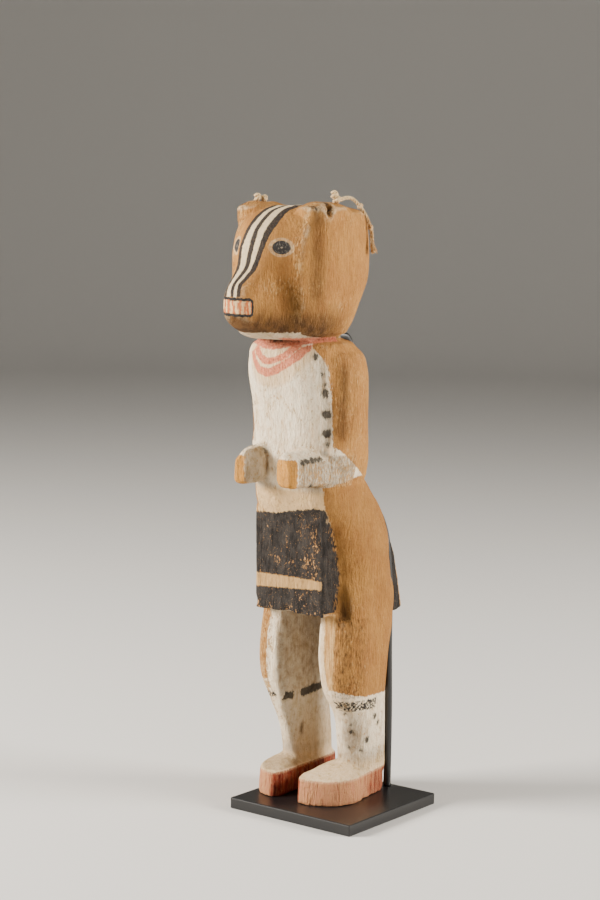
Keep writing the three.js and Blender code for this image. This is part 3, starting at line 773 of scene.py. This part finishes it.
    # small black marks, the garter and the sponged band on the shins
    marks = np.full(len(x), -5.0)
    for middle, size, strength in painting["dots"]:
        away = np.linalg.norm((points - middle), axis=1)
        marks = np.maximum(marks, size * (0.4 + 0.6 * strength) - away)
    lift = 0.06 * (y - 9)
    garter = np.where((x < -4.5) & (y > -9) & (z < 60), np.minimum(1.75 - np.abs(z - 44 - lift), 19 - y), -5)
    garter = np.where((y > -4.6) & (y < 0.2), garter - 1.9, garter)
    areas["blackMark"] = np.clip(np.maximum(marks, garter), -5, 5)
    sponge = np.minimum(2.4 - np.abs(z - 42.0), np.minimum(x - 15, 12.5 - y))
    farSponge = np.minimum(2.0 - np.abs(z - 43.5), np.minimum(-12 - x, 2 - y)) - 0.8
    areas["sponge"] = np.clip(np.where(z < 60, np.maximum(sponge, farSponge), -5), -5, 5)

    # where hands and years have rubbed the paint: the cheek edges, hem, hip and sleeve fronts
    ridge = 0.95 * np.exp(-(((wide - 17.4) / 3.2) ** 2)) * (y < -27) * head * smoothstep(z, 204, 212)
    lowFace = 0.7 * np.exp(-(((z - 226) / 7) ** 2)) * smoothstep(wide, 5, 9) * (y < -30) * head
    headSide = (0.3 + 0.3 * smoothstep(z, 228, 212) + 0.35 * smoothstep(z, 246, 254)) * head * (y >= -33)
    nosePatch = np.exp(-((((x - 4.6) / 2.2) ** 2) + ((z - 226) / 4) ** 2)) * (y < -50)
    inner = smoothstep(nx, 0.15, 0.5) * (x < -4) * (z < 86)
    body = 0.38 * (1 - head) * (1 - inner)
    arm = 0.6 * (z > 150) * (z < 199) * (wide > 22) * (1 - head)
    sleeveFront = 1.0 * (z > 140) * (z < 153.6) * (wide > 13) * (y > -36) * (y < -6) * smoothstep(nz, 0.6, 0.3)
    kiltRub = (0.44 + 0.17 * smoothstep(x, -8, 12)) * (0.3 + 0.7 * smoothstep(x, 17.2, 15.0)) * (z < 131) * (
        z > 78) * (y < -6) * (wide < 21) * (x < 18)
    kiltRub += 0.3 * np.exp(-(((z - 103) / 4) ** 2)) * smoothstep(x, -16, 6) * (y < -6) * (z < 131) * (
        z > 78) * (x < 16)
    kiltRub += 0.26 * smoothstep(z, 92, 84) * (y < -6) * (z > 78) * (x < 18)
    kiltRub += 0.35 * np.exp(-(((x - 11.5) / 3.5) ** 2 + ((z - 116) / 6) ** 2)) * (y < -12)
    kiltRub += 0.5 * np.exp(-(((x + 7.5 + 0.35 * (z - 108)) / 1.2) ** 2 + ((z - 107) / 5) ** 2)) * (y < -12)
    shin = (0.55 + 0.5 * smoothstep(x, -12, -17)) * (1 - 0.9 * inner) * (z < 84) * (z > 14) * (x < -5)
    shin += 0.45 * (z < 50) * (z > 14) * (x > 5)
    thigh = 0.5 * (z > 46) * (z < 84) * smoothstep(y, 12, -2) * (x > 0) * smoothstep(x, 12, 14)
    bare = np.minimum(np.minimum(x - 12.0, 17.8 - x + 0.03 * (z - 60)), np.minimum(z - 47, 83.5 - z))
    areas["bareWood"] = np.clip(np.where(y < 4, bare, -5), -5, 5)
    # dirt and painted shade on the white: painted shade on the inner legs, in a line along the chest's edge by the
    # arms, under the kilt's hem, under the jaw, under the forearms and on the far forearm's inner face; darker also
    # just above the shoes, on the far leg's low part and on the sleeve fronts; the near shin smudge and the smear are
    # dirt
    dirtAndShade = 0.75 * smoothstep(nx, 0.25, 0.7) * (x < -4) * (z < 86) * smoothstep(z, 14, 22) * (0.65 + 0.35 * smoothstep(
        z, 40, 55))
    dirtAndShade = np.maximum(dirtAndShade, 0.55 * np.exp(-(((wide - 19.9) / 1.1) ** 2)) * (z > 157) * (z < 199) * (y < -12))
    dirtAndShade = np.maximum(dirtAndShade, 0.35 * smoothstep(z, 76, 84) * (z < 90) * (y < 0))
    dirtAndShade = np.maximum(dirtAndShade, 0.4 * smoothstep(z, 198, 204))
    dirtAndShade = np.maximum(dirtAndShade, 0.6 * np.exp(-(((z - 139.5) / 2.4) ** 2)) * (y < -12) * smoothstep(wide, 2, 8))
    smudge = np.exp(-(((x - 20) / 5) ** 2 + ((y - 3) / 7) ** 2 + ((z - 28) / 11) ** 2))
    dirtAndShade = np.maximum(dirtAndShade, 0.85 * smudge)
    dirtAndShade = np.maximum(dirtAndShade, 0.5 * np.exp(-(((z - 18) / 4) ** 2)) * (nz < 0.6))
    dirtAndShade = np.maximum(dirtAndShade, 0.42 * (x < -5) * smoothstep(-y, -16, 10) * smoothstep(z, 30, 15) * (z > 11.5))
    dirtAndShade = np.maximum(dirtAndShade, 0.45 * (z > 140) * (z < 160) * (x < -5) * (y < -22) * smoothstep(nx, 0.3, 0.7))
    dirtAndShade = np.maximum(dirtAndShade, 0.45 * sleeveFront)
    smear = np.exp(-(((y - 2.4) / 1.7) ** 2 + ((z - 26.5) / 4.5) ** 2)) * (x < -5) * (nx > 0.2)
    dirtAndShade = np.maximum(dirtAndShade, 1.2 * smear)
    areas["dirtAndShade"] = np.clip(dirtAndShade * (1 - head * (z > 207)), 0, 1.2)
    areas["rub"] = np.clip(np.maximum.reduce([ridge, lowFace, headSide, nosePatch, body, arm, sleeveFront, kiltRub,
                                              shin, thigh]), 0, 1.2)
    # painted shade: darker behind the cheek edge, under the jaw, on the low cheek, on downward faces of the head, in
    # the gap behind the apron and on the upper arm's front facet; the body a little darker below the forearms
    stainAndShade = 0.62 * np.exp(-(((y + 33) / 4.4) ** 2)) * smoothstep(wide, 18, 21) * smoothstep(z, 212, 222)
    stainAndShade = np.maximum(stainAndShade, 1.0 * smoothstep(z, 222, 209) * smoothstep(y, -60, -54) * smoothstep(y, -4, -28))
    stainAndShade = np.maximum(stainAndShade, 0.5 * smoothstep(z, 232, 214) * smoothstep(wide, 8, 14) * (y < -28))
    stainAndShade = np.maximum(stainAndShade * head, 0.85 * smoothstep(nz, -0.1, -0.6) * head * (z > 204.6)
                       * smoothstep(y, -4, -24))
    # painted shadow in the gap behind the apron's back edge
    away, _ = distanceTo(points, np.array(wearMarks["apronGap"]))
    behind = np.exp(-((away / lineAt([[83, 3.6], [104, 2.6], [120, 1.4]], z)) ** 2)) * (x > 17.9)
    stainAndShade = np.maximum(stainAndShade, 1.0 * behind)
    stainAndShade = np.maximum(stainAndShade, 0.2 * smoothstep(z, 146, 132) * (1 - head))
    # painted shade along the front facet of the upper arm
    stainAndShade = np.maximum(stainAndShade, 0.75 * np.exp(-(((y + 15) / 3.4) ** 2)) * (wide > 20.5) * smoothstep(z, 156, 164)
                       * smoothstep(z, 198, 188))
    areas["stainAndShade"] = np.clip(stainAndShade, 0, 1)
    abraded = np.maximum.reduce([ridge, lowFace, 1.4 * (z > 46) * (z < 82) * smoothstep(x, 15, 17.5) * smoothstep(
        y, 6, -2), 0.7 * (z > 160) * (z < 198) * (wide > 21) * (y < -6), 0.25 * (z > 84) * (z < 140), sleeveFront])
    areas["abraded"] = np.clip(abraded, 0, 1.4)
    return areas


smoothed = neighbourMean(points, edges, len(points), 24)
hollowness = np.einsum("ij,ij->i", smoothed - points, normals)  # above zero in creases, below on edges
setField(carved, "crease", np.clip(hollowness / 0.9, -1.5, 1.5))
for name, values in paintAreas(points, normals).items():
    setField(carved, name, values)
print("paint areas done")


# paint
pigments = {
    "ochre": "#AB7439", "ochreDeep": "#7A4E24", "ochreLight": "#C08A46",
    "chalk": "#D0AA74", "white": "#F6E7CC", "whiteGrey": "#E2CDA8", "beige": "#DBB785", "black": "#1D1A19",
    "blackGrey": "#3B3632", "pink": "#D2714E", "pinkDeep": "#AB4529", "red": "#5E150A", "shoePink": "#C18A5E",
    "cream": "#EFD9B2", "hand": "#C8872F", "stainAndShade": "#442A10", "creaseShade": "#2C1E12",
}


def paintedWood():
    # Earth pigments on carved cottonwood root: dead matt, chalky, thin enough to let the upright grain through.
    material, tree, shader = newMaterial("earth_pigment_on_cottonwood")
    fine = pattern(tree, (0.55, 0.55, 0.8), 2, 0.6, 0.3, 0.7)  # chalk tooth of the paint
    grain = pattern(tree, (0.8, 0.8, 9.0), 4, 0.6, 0.35, 0.66, 3.1)  # upright grain, a little over real width
    mottle = pattern(tree, (2.4, 2.4, 3.6), 5, 0.68, 0.3, 0.7, 14.2)
    scuff = pattern(tree, (0.8, 0.8, 2.0), 6, 0.74, 0.3, 0.7, 9.7)
    streak = pattern(tree, (1.3, 1.3, 9.0), 3, 0.6, 0.42, 0.75, 9.7)
    cloud = pattern(tree, (9.0, 9.0, 16.0), 3, 0.55, 0.3, 0.7, 5.3)
    patches = pattern(tree, (4.5, 4.5, 6.5), 3, 0.6, 0.3, 0.7, 17.1)
    speck = pattern(tree, (1.0, 1.0, 1.5), 5, 0.75, 0.3, 0.7, 7.9)
    smallCloud = pattern(tree, (3.0, 3.0, 5.0), 3, 0.6, 0.3, 0.7, 1.7)
    rub, crease, stainAndShade = field(tree, "rub"), field(tree, "crease"), field(tree, "stainAndShade")
    ragged = scaled(tree, pattern(tree, (1.2, 1.2, 2.2), 3, 0.6, 0.2, 0.8, 12.3), 0.9, -0.45)
    edgeWear = edgeOf(tree, crease, -0.25, -0.75)

    def covered(name, soft=0.25, shake=1.0):  # where a coat lies, with the ragged edge of a hand-made brush
        return edgeOf(tree, scaled(tree, ragged, shake, field(tree, name)), -soft, soft)

    def scraped(threshold, strength, source, soft=0.16):  # flecks lost from a coat: more where it is rubbed
        clumped = scaled(tree, patches, 0.4, scaled(tree, rub, strength, source))
        return edgeOf(tree, clumped, threshold, threshold + soft)

    # ochre: brown earth, mottled, rubbed to a paler chalk in small upright scuffs
    ochre = blend(tree, cloud, pigments["ochre"], pigments["ochreLight"])
    ochre = blend(tree, calc(tree, "MULTIPLY", grain, 0.2), ochre, pigments["ochreDeep"])
    ochre = blend(tree, calc(tree, "MULTIPLY", mottle, 0.3), ochre, pigments["ochreDeep"])
    ochre = blend(tree, calc(tree, "MULTIPLY", speck, 0.16), ochre, "#D2A465")
    darkFleck = edgeOf(tree, calc(tree, "SUBTRACT", scuff, calc(tree, "MULTIPLY", rub, 0.25)), 0.1, 0.0)
    ochre = blend(tree, calc(tree, "MULTIPLY", darkFleck, 0.4), ochre, "#6E4720")
    stainAndShadeAmount = calc(tree, "MULTIPLY", stainAndShade, scaled(tree, smallCloud, 0.22, 0.78))
    scratches = pattern(tree, (0.6, 0.6, 3.2), 4, 0.65, 0.42, 0.68, 26.5)
    ochre = blend(tree, calc(tree, "MULTIPLY", calc(tree, "MULTIPLY", field(tree, "abraded"), scratches), 0.6), ochre,
                  pigments["stainAndShade"])
    # painted shade: the ochre darkened under the jaw, by the cheek edges, on the arm fronts and behind the apron
    ochre = blend(tree, stainAndShadeAmount, ochre, pigments["stainAndShade"])
    paleScrape = scraped(1.3, 0.75, scuff, 0.5)
    paleScrape = calc(tree, "MULTIPLY", paleScrape, calc(tree, "SUBTRACT", 0.55, calc(tree, "MULTIPLY", stainAndShade, 0.45)))
    ochre = blend(tree, paleScrape, ochre, pigments["chalk"])
    colour = blend(tree, calc(tree, "MULTIPLY", edgeWear, calc(tree, "MULTIPLY", speck, 0.7)), ochre, "#E8D2AA")

    bare = blend(tree, grain, "#DDB67C", "#B98A50")
    colour = blend(tree, calc(tree, "MULTIPLY", covered("bareWood", 1.2, 1.6), 0.75), colour, bare)

    # white clay slip, beige in places and beige as painted shade, with ochre showing through scrapes
    white = blend(tree, calc(tree, "MULTIPLY", smallCloud, 0.3), pigments["white"], pigments["whiteGrey"])
    white = blend(tree, field(tree, "beige"), white, pigments["beige"])
    white = blend(tree, calc(tree, "MULTIPLY", streak, 0.34), white, "#D2A468")
    white = blend(tree, calc(tree, "MULTIPLY", edgeOf(tree, mottle, 0.55, 0.95), 0.38), white, "#C9A374")
    white = blend(tree, calc(tree, "MULTIPLY", edgeOf(tree, patches, 0.6, 1.0), 0.28), white, "#CDAE72")
    # dirt and painted shade darken the white
    dirtAndShadeAmount = calc(tree, "MULTIPLY", field(tree, "dirtAndShade"), scaled(tree, mottle, 0.35, 0.7))
    white = blend(tree, dirtAndShadeAmount, white, "#6A543C")
    white = blend(tree, calc(tree, "MULTIPLY", calc(tree, "MULTIPLY", field(tree, "abraded"), scratches), 0.55), white,
                  "#5A5044")
    pits = edgeOf(tree, speck, 0.9, 1.0)
    white = blend(tree, calc(tree, "MULTIPLY", pits, 0.5), white, "#8E6C46")
    scrapedWhite = scraped(1.26, 0.6, scuff, 0.22)
    whiteMask = calc(tree, "MULTIPLY", covered("whiteClay", 0.3), calc(tree, "SUBTRACT", 1.0, calc(
        tree, "MULTIPLY", scrapedWhite, 0.85)))
    colour = blend(tree, whiteMask, colour, white)

    # the pale band round the kilt, then the black, flaked in flecks that show tan wood
    bandMask = covered("kiltBand", 0.4, 1.0)
    band = blend(tree, calc(tree, "MULTIPLY", grain, 0.5), "#C39D68", "#94703E")
    band = blend(tree, calc(tree, "MULTIPLY", edgeOf(tree, mottle, 0.6, 1.0), 0.35), band, "#6F5233")
    colour = blend(tree, bandMask, colour, band)
    black = blend(tree, smallCloud, pigments["black"], pigments["blackGrey"])
    tan = blend(tree, grain, "#C59864", "#9A6D40")
    flakes = scraped(1.43, 0.62, speck, 0.16)
    tiny = edgeOf(tree, pattern(tree, (0.5, 0.5, 0.8), 3, 0.7, 0.3, 0.7, 31.0), 0.9, 1.0)
    flakes = calc(tree, "MAXIMUM", flakes, calc(tree, "MULTIPLY", tiny, calc(tree, "MULTIPLY", rub, 0.9)))
    kilt = blend(tree, flakes, black, tan)
    kiltMask = covered("blackKilt", 0.35, 1.1)
    colour = blend(tree, kiltMask, colour, kilt)

    # pink collar, brushed thin
    pink = blend(tree, pattern(tree, (1.4, 1.4, 1.0), 3, 0.6, 0.35, 0.7, 4.4), pigments["pink"], pigments["pinkDeep"])
    pink = blend(tree, calc(tree, "MULTIPLY", fine, 0.3), pink, "#E6AE90")
    colour = blend(tree, calc(tree, "MULTIPLY", covered("pinkCollar", 0.3, 0.7), 0.9), colour, pink)

    # shoes: red earth, faded pink on the outer side and toe
    faded = blend(tree, calc(tree, "MULTIPLY", grain, 0.5), pigments["shoePink"], "#C07A5E")
    strong = blend(tree, calc(tree, "MULTIPLY", smallCloud, 0.6), pigments["red"], pigments["pinkDeep"])
    shoeMix = calc(tree, "ADD", calc(tree, "SUBTRACT", field(tree, "redStrength"), 0.5),
                   scaled(tree, streak, 0.7, 0.15), clamp=True)
    red = blend(tree, shoeMix, faded, strong)
    red = blend(tree, calc(tree, "MULTIPLY", edgeOf(tree, field(tree, "redShoe"), 1.3, 0.3), calc(
        tree, "MULTIPLY", scuff, 0.7)), red, "#DDB88E")
    red = blend(tree, calc(tree, "MULTIPLY", edgeOf(tree, speck, 0.75, 0.98), 0.25), red, "#D8AE88")
    colour = blend(tree, covered("redShoe", 0.3, 0.6), colour, red)

    # hands
    hand = blend(tree, grain, pigments["hand"], "#A06C30")
    hand = blend(tree, calc(tree, "MULTIPLY", speck, 0.35), hand, "#DDAE66")
    colour = blend(tree, covered("ochreHand", 0.5, 1.2), colour, hand)

    # face stripes: five, black on the outside
    across = scaled(tree, ragged, 0.16, field(tree, "stripeAcross"))
    ramp = addNode(tree, "ShaderNodeValToRGB", Fac=calc(tree, "DIVIDE", across, 5.0))
    steps = [(0.0, 0), (0.2, 1), (0.4, 0), (0.6, 1), (0.8, 0)]
    ramp.color_ramp.elements[0].position = 0
    ramp.color_ramp.elements[0].color = (0, 0, 0, 1)
    ramp.color_ramp.elements[1].position = 1
    ramp.color_ramp.elements[1].color = (0, 0, 0, 1)
    for start, tone in steps[1:]:
        for nudge, value in ((-0.014, 1 - tone), (0.014, tone)):
            element = ramp.color_ramp.elements.new(start + nudge)
            element.color = (value, value, value, 1)
    blackStripe = blend(tree, calc(tree, "MULTIPLY", fine, 0.5), "#1F1F21", "#4A4642")
    creamStripe = blend(tree, calc(tree, "MULTIPLY", fine, 0.4), pigments["cream"], "#D9BC8D")
    stripes = blend(tree, ramp.outputs[0], blackStripe, creamStripe)
    stripeMask = calc(tree, "MULTIPLY", edgeOf(tree, across, -0.07, 0.07), edgeOf(tree, across, 5.07, 4.93))
    stripeMask = calc(tree, "MULTIPLY", stripeMask, covered("stripeReach", 0.5, 1.5))
    stripeMask = calc(tree, "MULTIPLY", stripeMask, calc(tree, "SUBTRACT", 1.0, calc(tree, "MULTIPLY", speck, 0.1)))
    colour = blend(tree, stripeMask, colour, stripes)

    # mouth: black outline round cream teeth with pink strokes between
    mouth = scaled(tree, ragged, 0.75, field(tree, "mouthIn"))
    wobble = scaled(tree, smallCloud, 1.3, field(tree, "mouthAcross"))
    wave = calc(tree, "SINE", calc(tree, "MULTIPLY", wobble, 2 * math.pi / 2.5))
    wave = calc(tree, "ADD", wave, calc(tree, "MULTIPLY", calc(tree, "SUBTRACT", speck, 0.5), 1.2))
    teeth = blend(tree, edgeOf(tree, wave, -0.9, 1.1), "#C96F3E", "#EBC893")
    colour = blend(tree, edgeOf(tree, mouth, -0.15, 0.15), colour, blackStripe)
    colour = blend(tree, edgeOf(tree, mouth, 0.95, 1.5), colour, teeth)

    # eyes: black with a pale fleck in the middle, ringed in worn white
    eye = scaled(tree, ragged, 0.09, field(tree, "eyeRadial"))
    ring = calc(tree, "MULTIPLY", edgeOf(tree, eye, 1.5, 1.32), scaled(tree, speck, 0.75, 0.12))
    colour = blend(tree, calc(tree, "MULTIPLY", ring, 0.75), colour, "#DEC79E")
    eyeBlack = blend(tree, edgeOf(tree, speck, 0.5, 1.0), "#353332", "#7A7268")
    colour = blend(tree, edgeOf(tree, eye, 1.06, 0.96), colour, eyeBlack)
    colour = blend(tree, calc(tree, "MULTIPLY", edgeOf(tree, eye, 0.2, 0.1), 0.7), colour, "#B9A68C")

    # black marks and the sponged band
    halo = edgeOf(tree, calc(tree, "ADD", field(tree, "blackMark"), ragged), -1.6, 0.6)
    colour = blend(tree, calc(tree, "MULTIPLY", halo, calc(tree, "MULTIPLY", mottle, 0.6)), colour, "#4A443C")
    colour = blend(tree, calc(tree, "MULTIPLY", covered("blackMark", 0.45, 1.5), 0.88), colour, "#25221F")
    dabs = pattern(tree, (1.3, 1.3, 1.3), 4, 0.7, 0.42, 0.52, 21.0)
    colour = blend(tree, calc(tree, "MULTIPLY", covered("sponge", 0.5, 1.0), dabs), colour, "#2B2826")

    # painted shade: darker in the creases
    creaseShadeAmount = calc(tree, "MULTIPLY", edgeOf(tree, crease, 0.2, 1.1), 0.72)
    colour = blend(tree, creaseShadeAmount, colour, pigments["creaseShade"])
    tree.links.new(colour, shader.inputs["Base Color"])
    shader.inputs["Roughness"].default_value = 0.88
    shader.inputs["Specular IOR Level"].default_value = 0.25

    height = calc(tree, "MULTIPLY", grain, -0.5)
    height = calc(tree, "ADD", height, calc(tree, "MULTIPLY", fine, 0.28))
    height = calc(tree, "ADD", height, calc(tree, "MULTIPLY", streak, -0.4))
    height = calc(tree, "ADD", height, calc(tree, "MULTIPLY", calc(tree, "MULTIPLY", kiltMask, flakes), -0.7))
    height = calc(tree, "ADD", height, calc(tree, "MULTIPLY", whiteMask, 0.35))
    height = calc(tree, "ADD", height, calc(tree, "MULTIPLY", mottle, 0.8))
    height = calc(tree, "ADD", height, calc(tree, "MULTIPLY", scuff, -0.5))
    bump = addNode(tree, "ShaderNodeBump", Strength=0.9, Distance=0.0005, Height=height)
    tree.links.new(bump.outputs[0], shader.inputs["Normal"])
    return material


setPoints(carved, place(points))
carved.data.materials.clear()
carved.data.materials.append(paintedWood())
for polygon in carved.data.polygons:
    polygon.use_smooth = True
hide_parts("doll")
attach(carved, "root")
print("doll done")


# stand
def simpleMaterial(name, colour, roughness):
    material, tree, shader = newMaterial(name)
    shader.inputs["Base Color"].default_value = hexColour(colour)
    shader.inputs["Roughness"].default_value = roughness
    return material


stand = {"plateSide": 65.0, "plateThick": 5.0, "plateBevel": 0.55, "bevelSteps": 3}


def buildPlate(values):
    half, thick = values["plateSide"] / 2, values["plateThick"]
    corners = [(x, y, z) for z in (0, thick) for x, y in ((-half, -half), (half, -half), (half, half), (-half, half))]
    faces = [(3, 2, 1, 0), (4, 5, 6, 7), (0, 1, 5, 4), (1, 2, 6, 5), (2, 3, 7, 6), (3, 0, 4, 7)]
    plate = newMesh("stand_plate", np.array(corners) / 1000, faces)
    bevel = plate.modifiers.new("edge", "BEVEL")
    bevel.width, bevel.segments, bevel.limit_method = values["plateBevel"] / 1000, values["bevelSteps"], "NONE"
    bevel.harden_normals = False
    return bakeModifiers(plate)


plate = buildPlate(stand)
plate.data.materials.append(simpleMaterial("satin_black_steel", "#19191A", 0.33))
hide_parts("base_plate")
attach(plate, "root")

rodLine = catmull(carving["rodRoute"], 8)
rodPoints, rodFaces = sweepTube(rodLine, carving["rodRadius"])
rod = newMesh("stand_rod", (rodPoints + [0, 0, groundZ]) / 1000, rodFaces)
rod.data.materials.append(plate.data.materials[0])
for polygon in rod.data.polygons:
    polygon.use_smooth = True
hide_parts("support_rod")
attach(rod, "root")
print("stand done")

# floor and lights
sweep = {"flat": 2.6, "curve": 1.6, "top": 3.2, "around": 96}  # metres: a round studio floor that curves up into a wall
profile = [(0.02, 0), (sweep["flat"] / 2, 0)]
profile += [(sweep["flat"] + sweep["curve"] * math.sin(a), sweep["curve"] * (1 - math.cos(a)))
            for a in np.linspace(0, math.pi / 2, 17)]
profile.append((sweep["flat"] + sweep["curve"], sweep["top"]))
turns = np.linspace(0, 2 * math.pi, sweep["around"], endpoint=False)
points = [(r * math.cos(t), r * math.sin(t), z) for r, z in profile for t in turns]
around, faces = sweep["around"], []
for row in range(len(profile) - 1):
    for i in range(around):
        j = (i + 1) % around
        faces.append((row * around + i, row * around + j, (row + 1) * around + j, (row + 1) * around + i))
faces.append(tuple(range(around - 1, -1, -1)))
floor = newMesh("studio_floor", points, [face[::-1] for face in faces])
for polygon in floor.data.polygons:
    polygon.use_smooth = True
floor.data.materials.append(simpleMaterial("matt_floor", "#DDDBD7", 0.9))


def addLight(name, position, size, energy, colour="#FFFFFF"):
    data = bpy.data.lights.new(name, "AREA")
    data.size, data.energy, data.color = size, energy, hexColour(colour)[:3]
    light = bpy.data.objects.new(name, data)
    light.location = position
    light.rotation_euler = (Vector((-0.012, 0, 0.14)) - Vector(position)).to_track_quat("-Z", "Y").to_euler()
    bpy.context.collection.objects.link(light)


addLight("left_softbox", (-0.84, -0.88, 0.6), 0.45, 51, "#FFF8EE")
addLight("right_softbox", (1.0, 0.52, 0.45), 0.45, 28, "#FFF8EE")
addLight("top_softbox", (0.1, -0.1, 1.4), 0.9, 3)
world = bpy.data.worlds.new("studio")
world.use_nodes = True
world.node_tree.nodes["Background"].inputs["Color"].default_value = hexColour("#E9E8E6")
world.node_tree.nodes["Background"].inputs["Strength"].default_value = 0.15
bpy.context.scene.world = world
print("studio done")
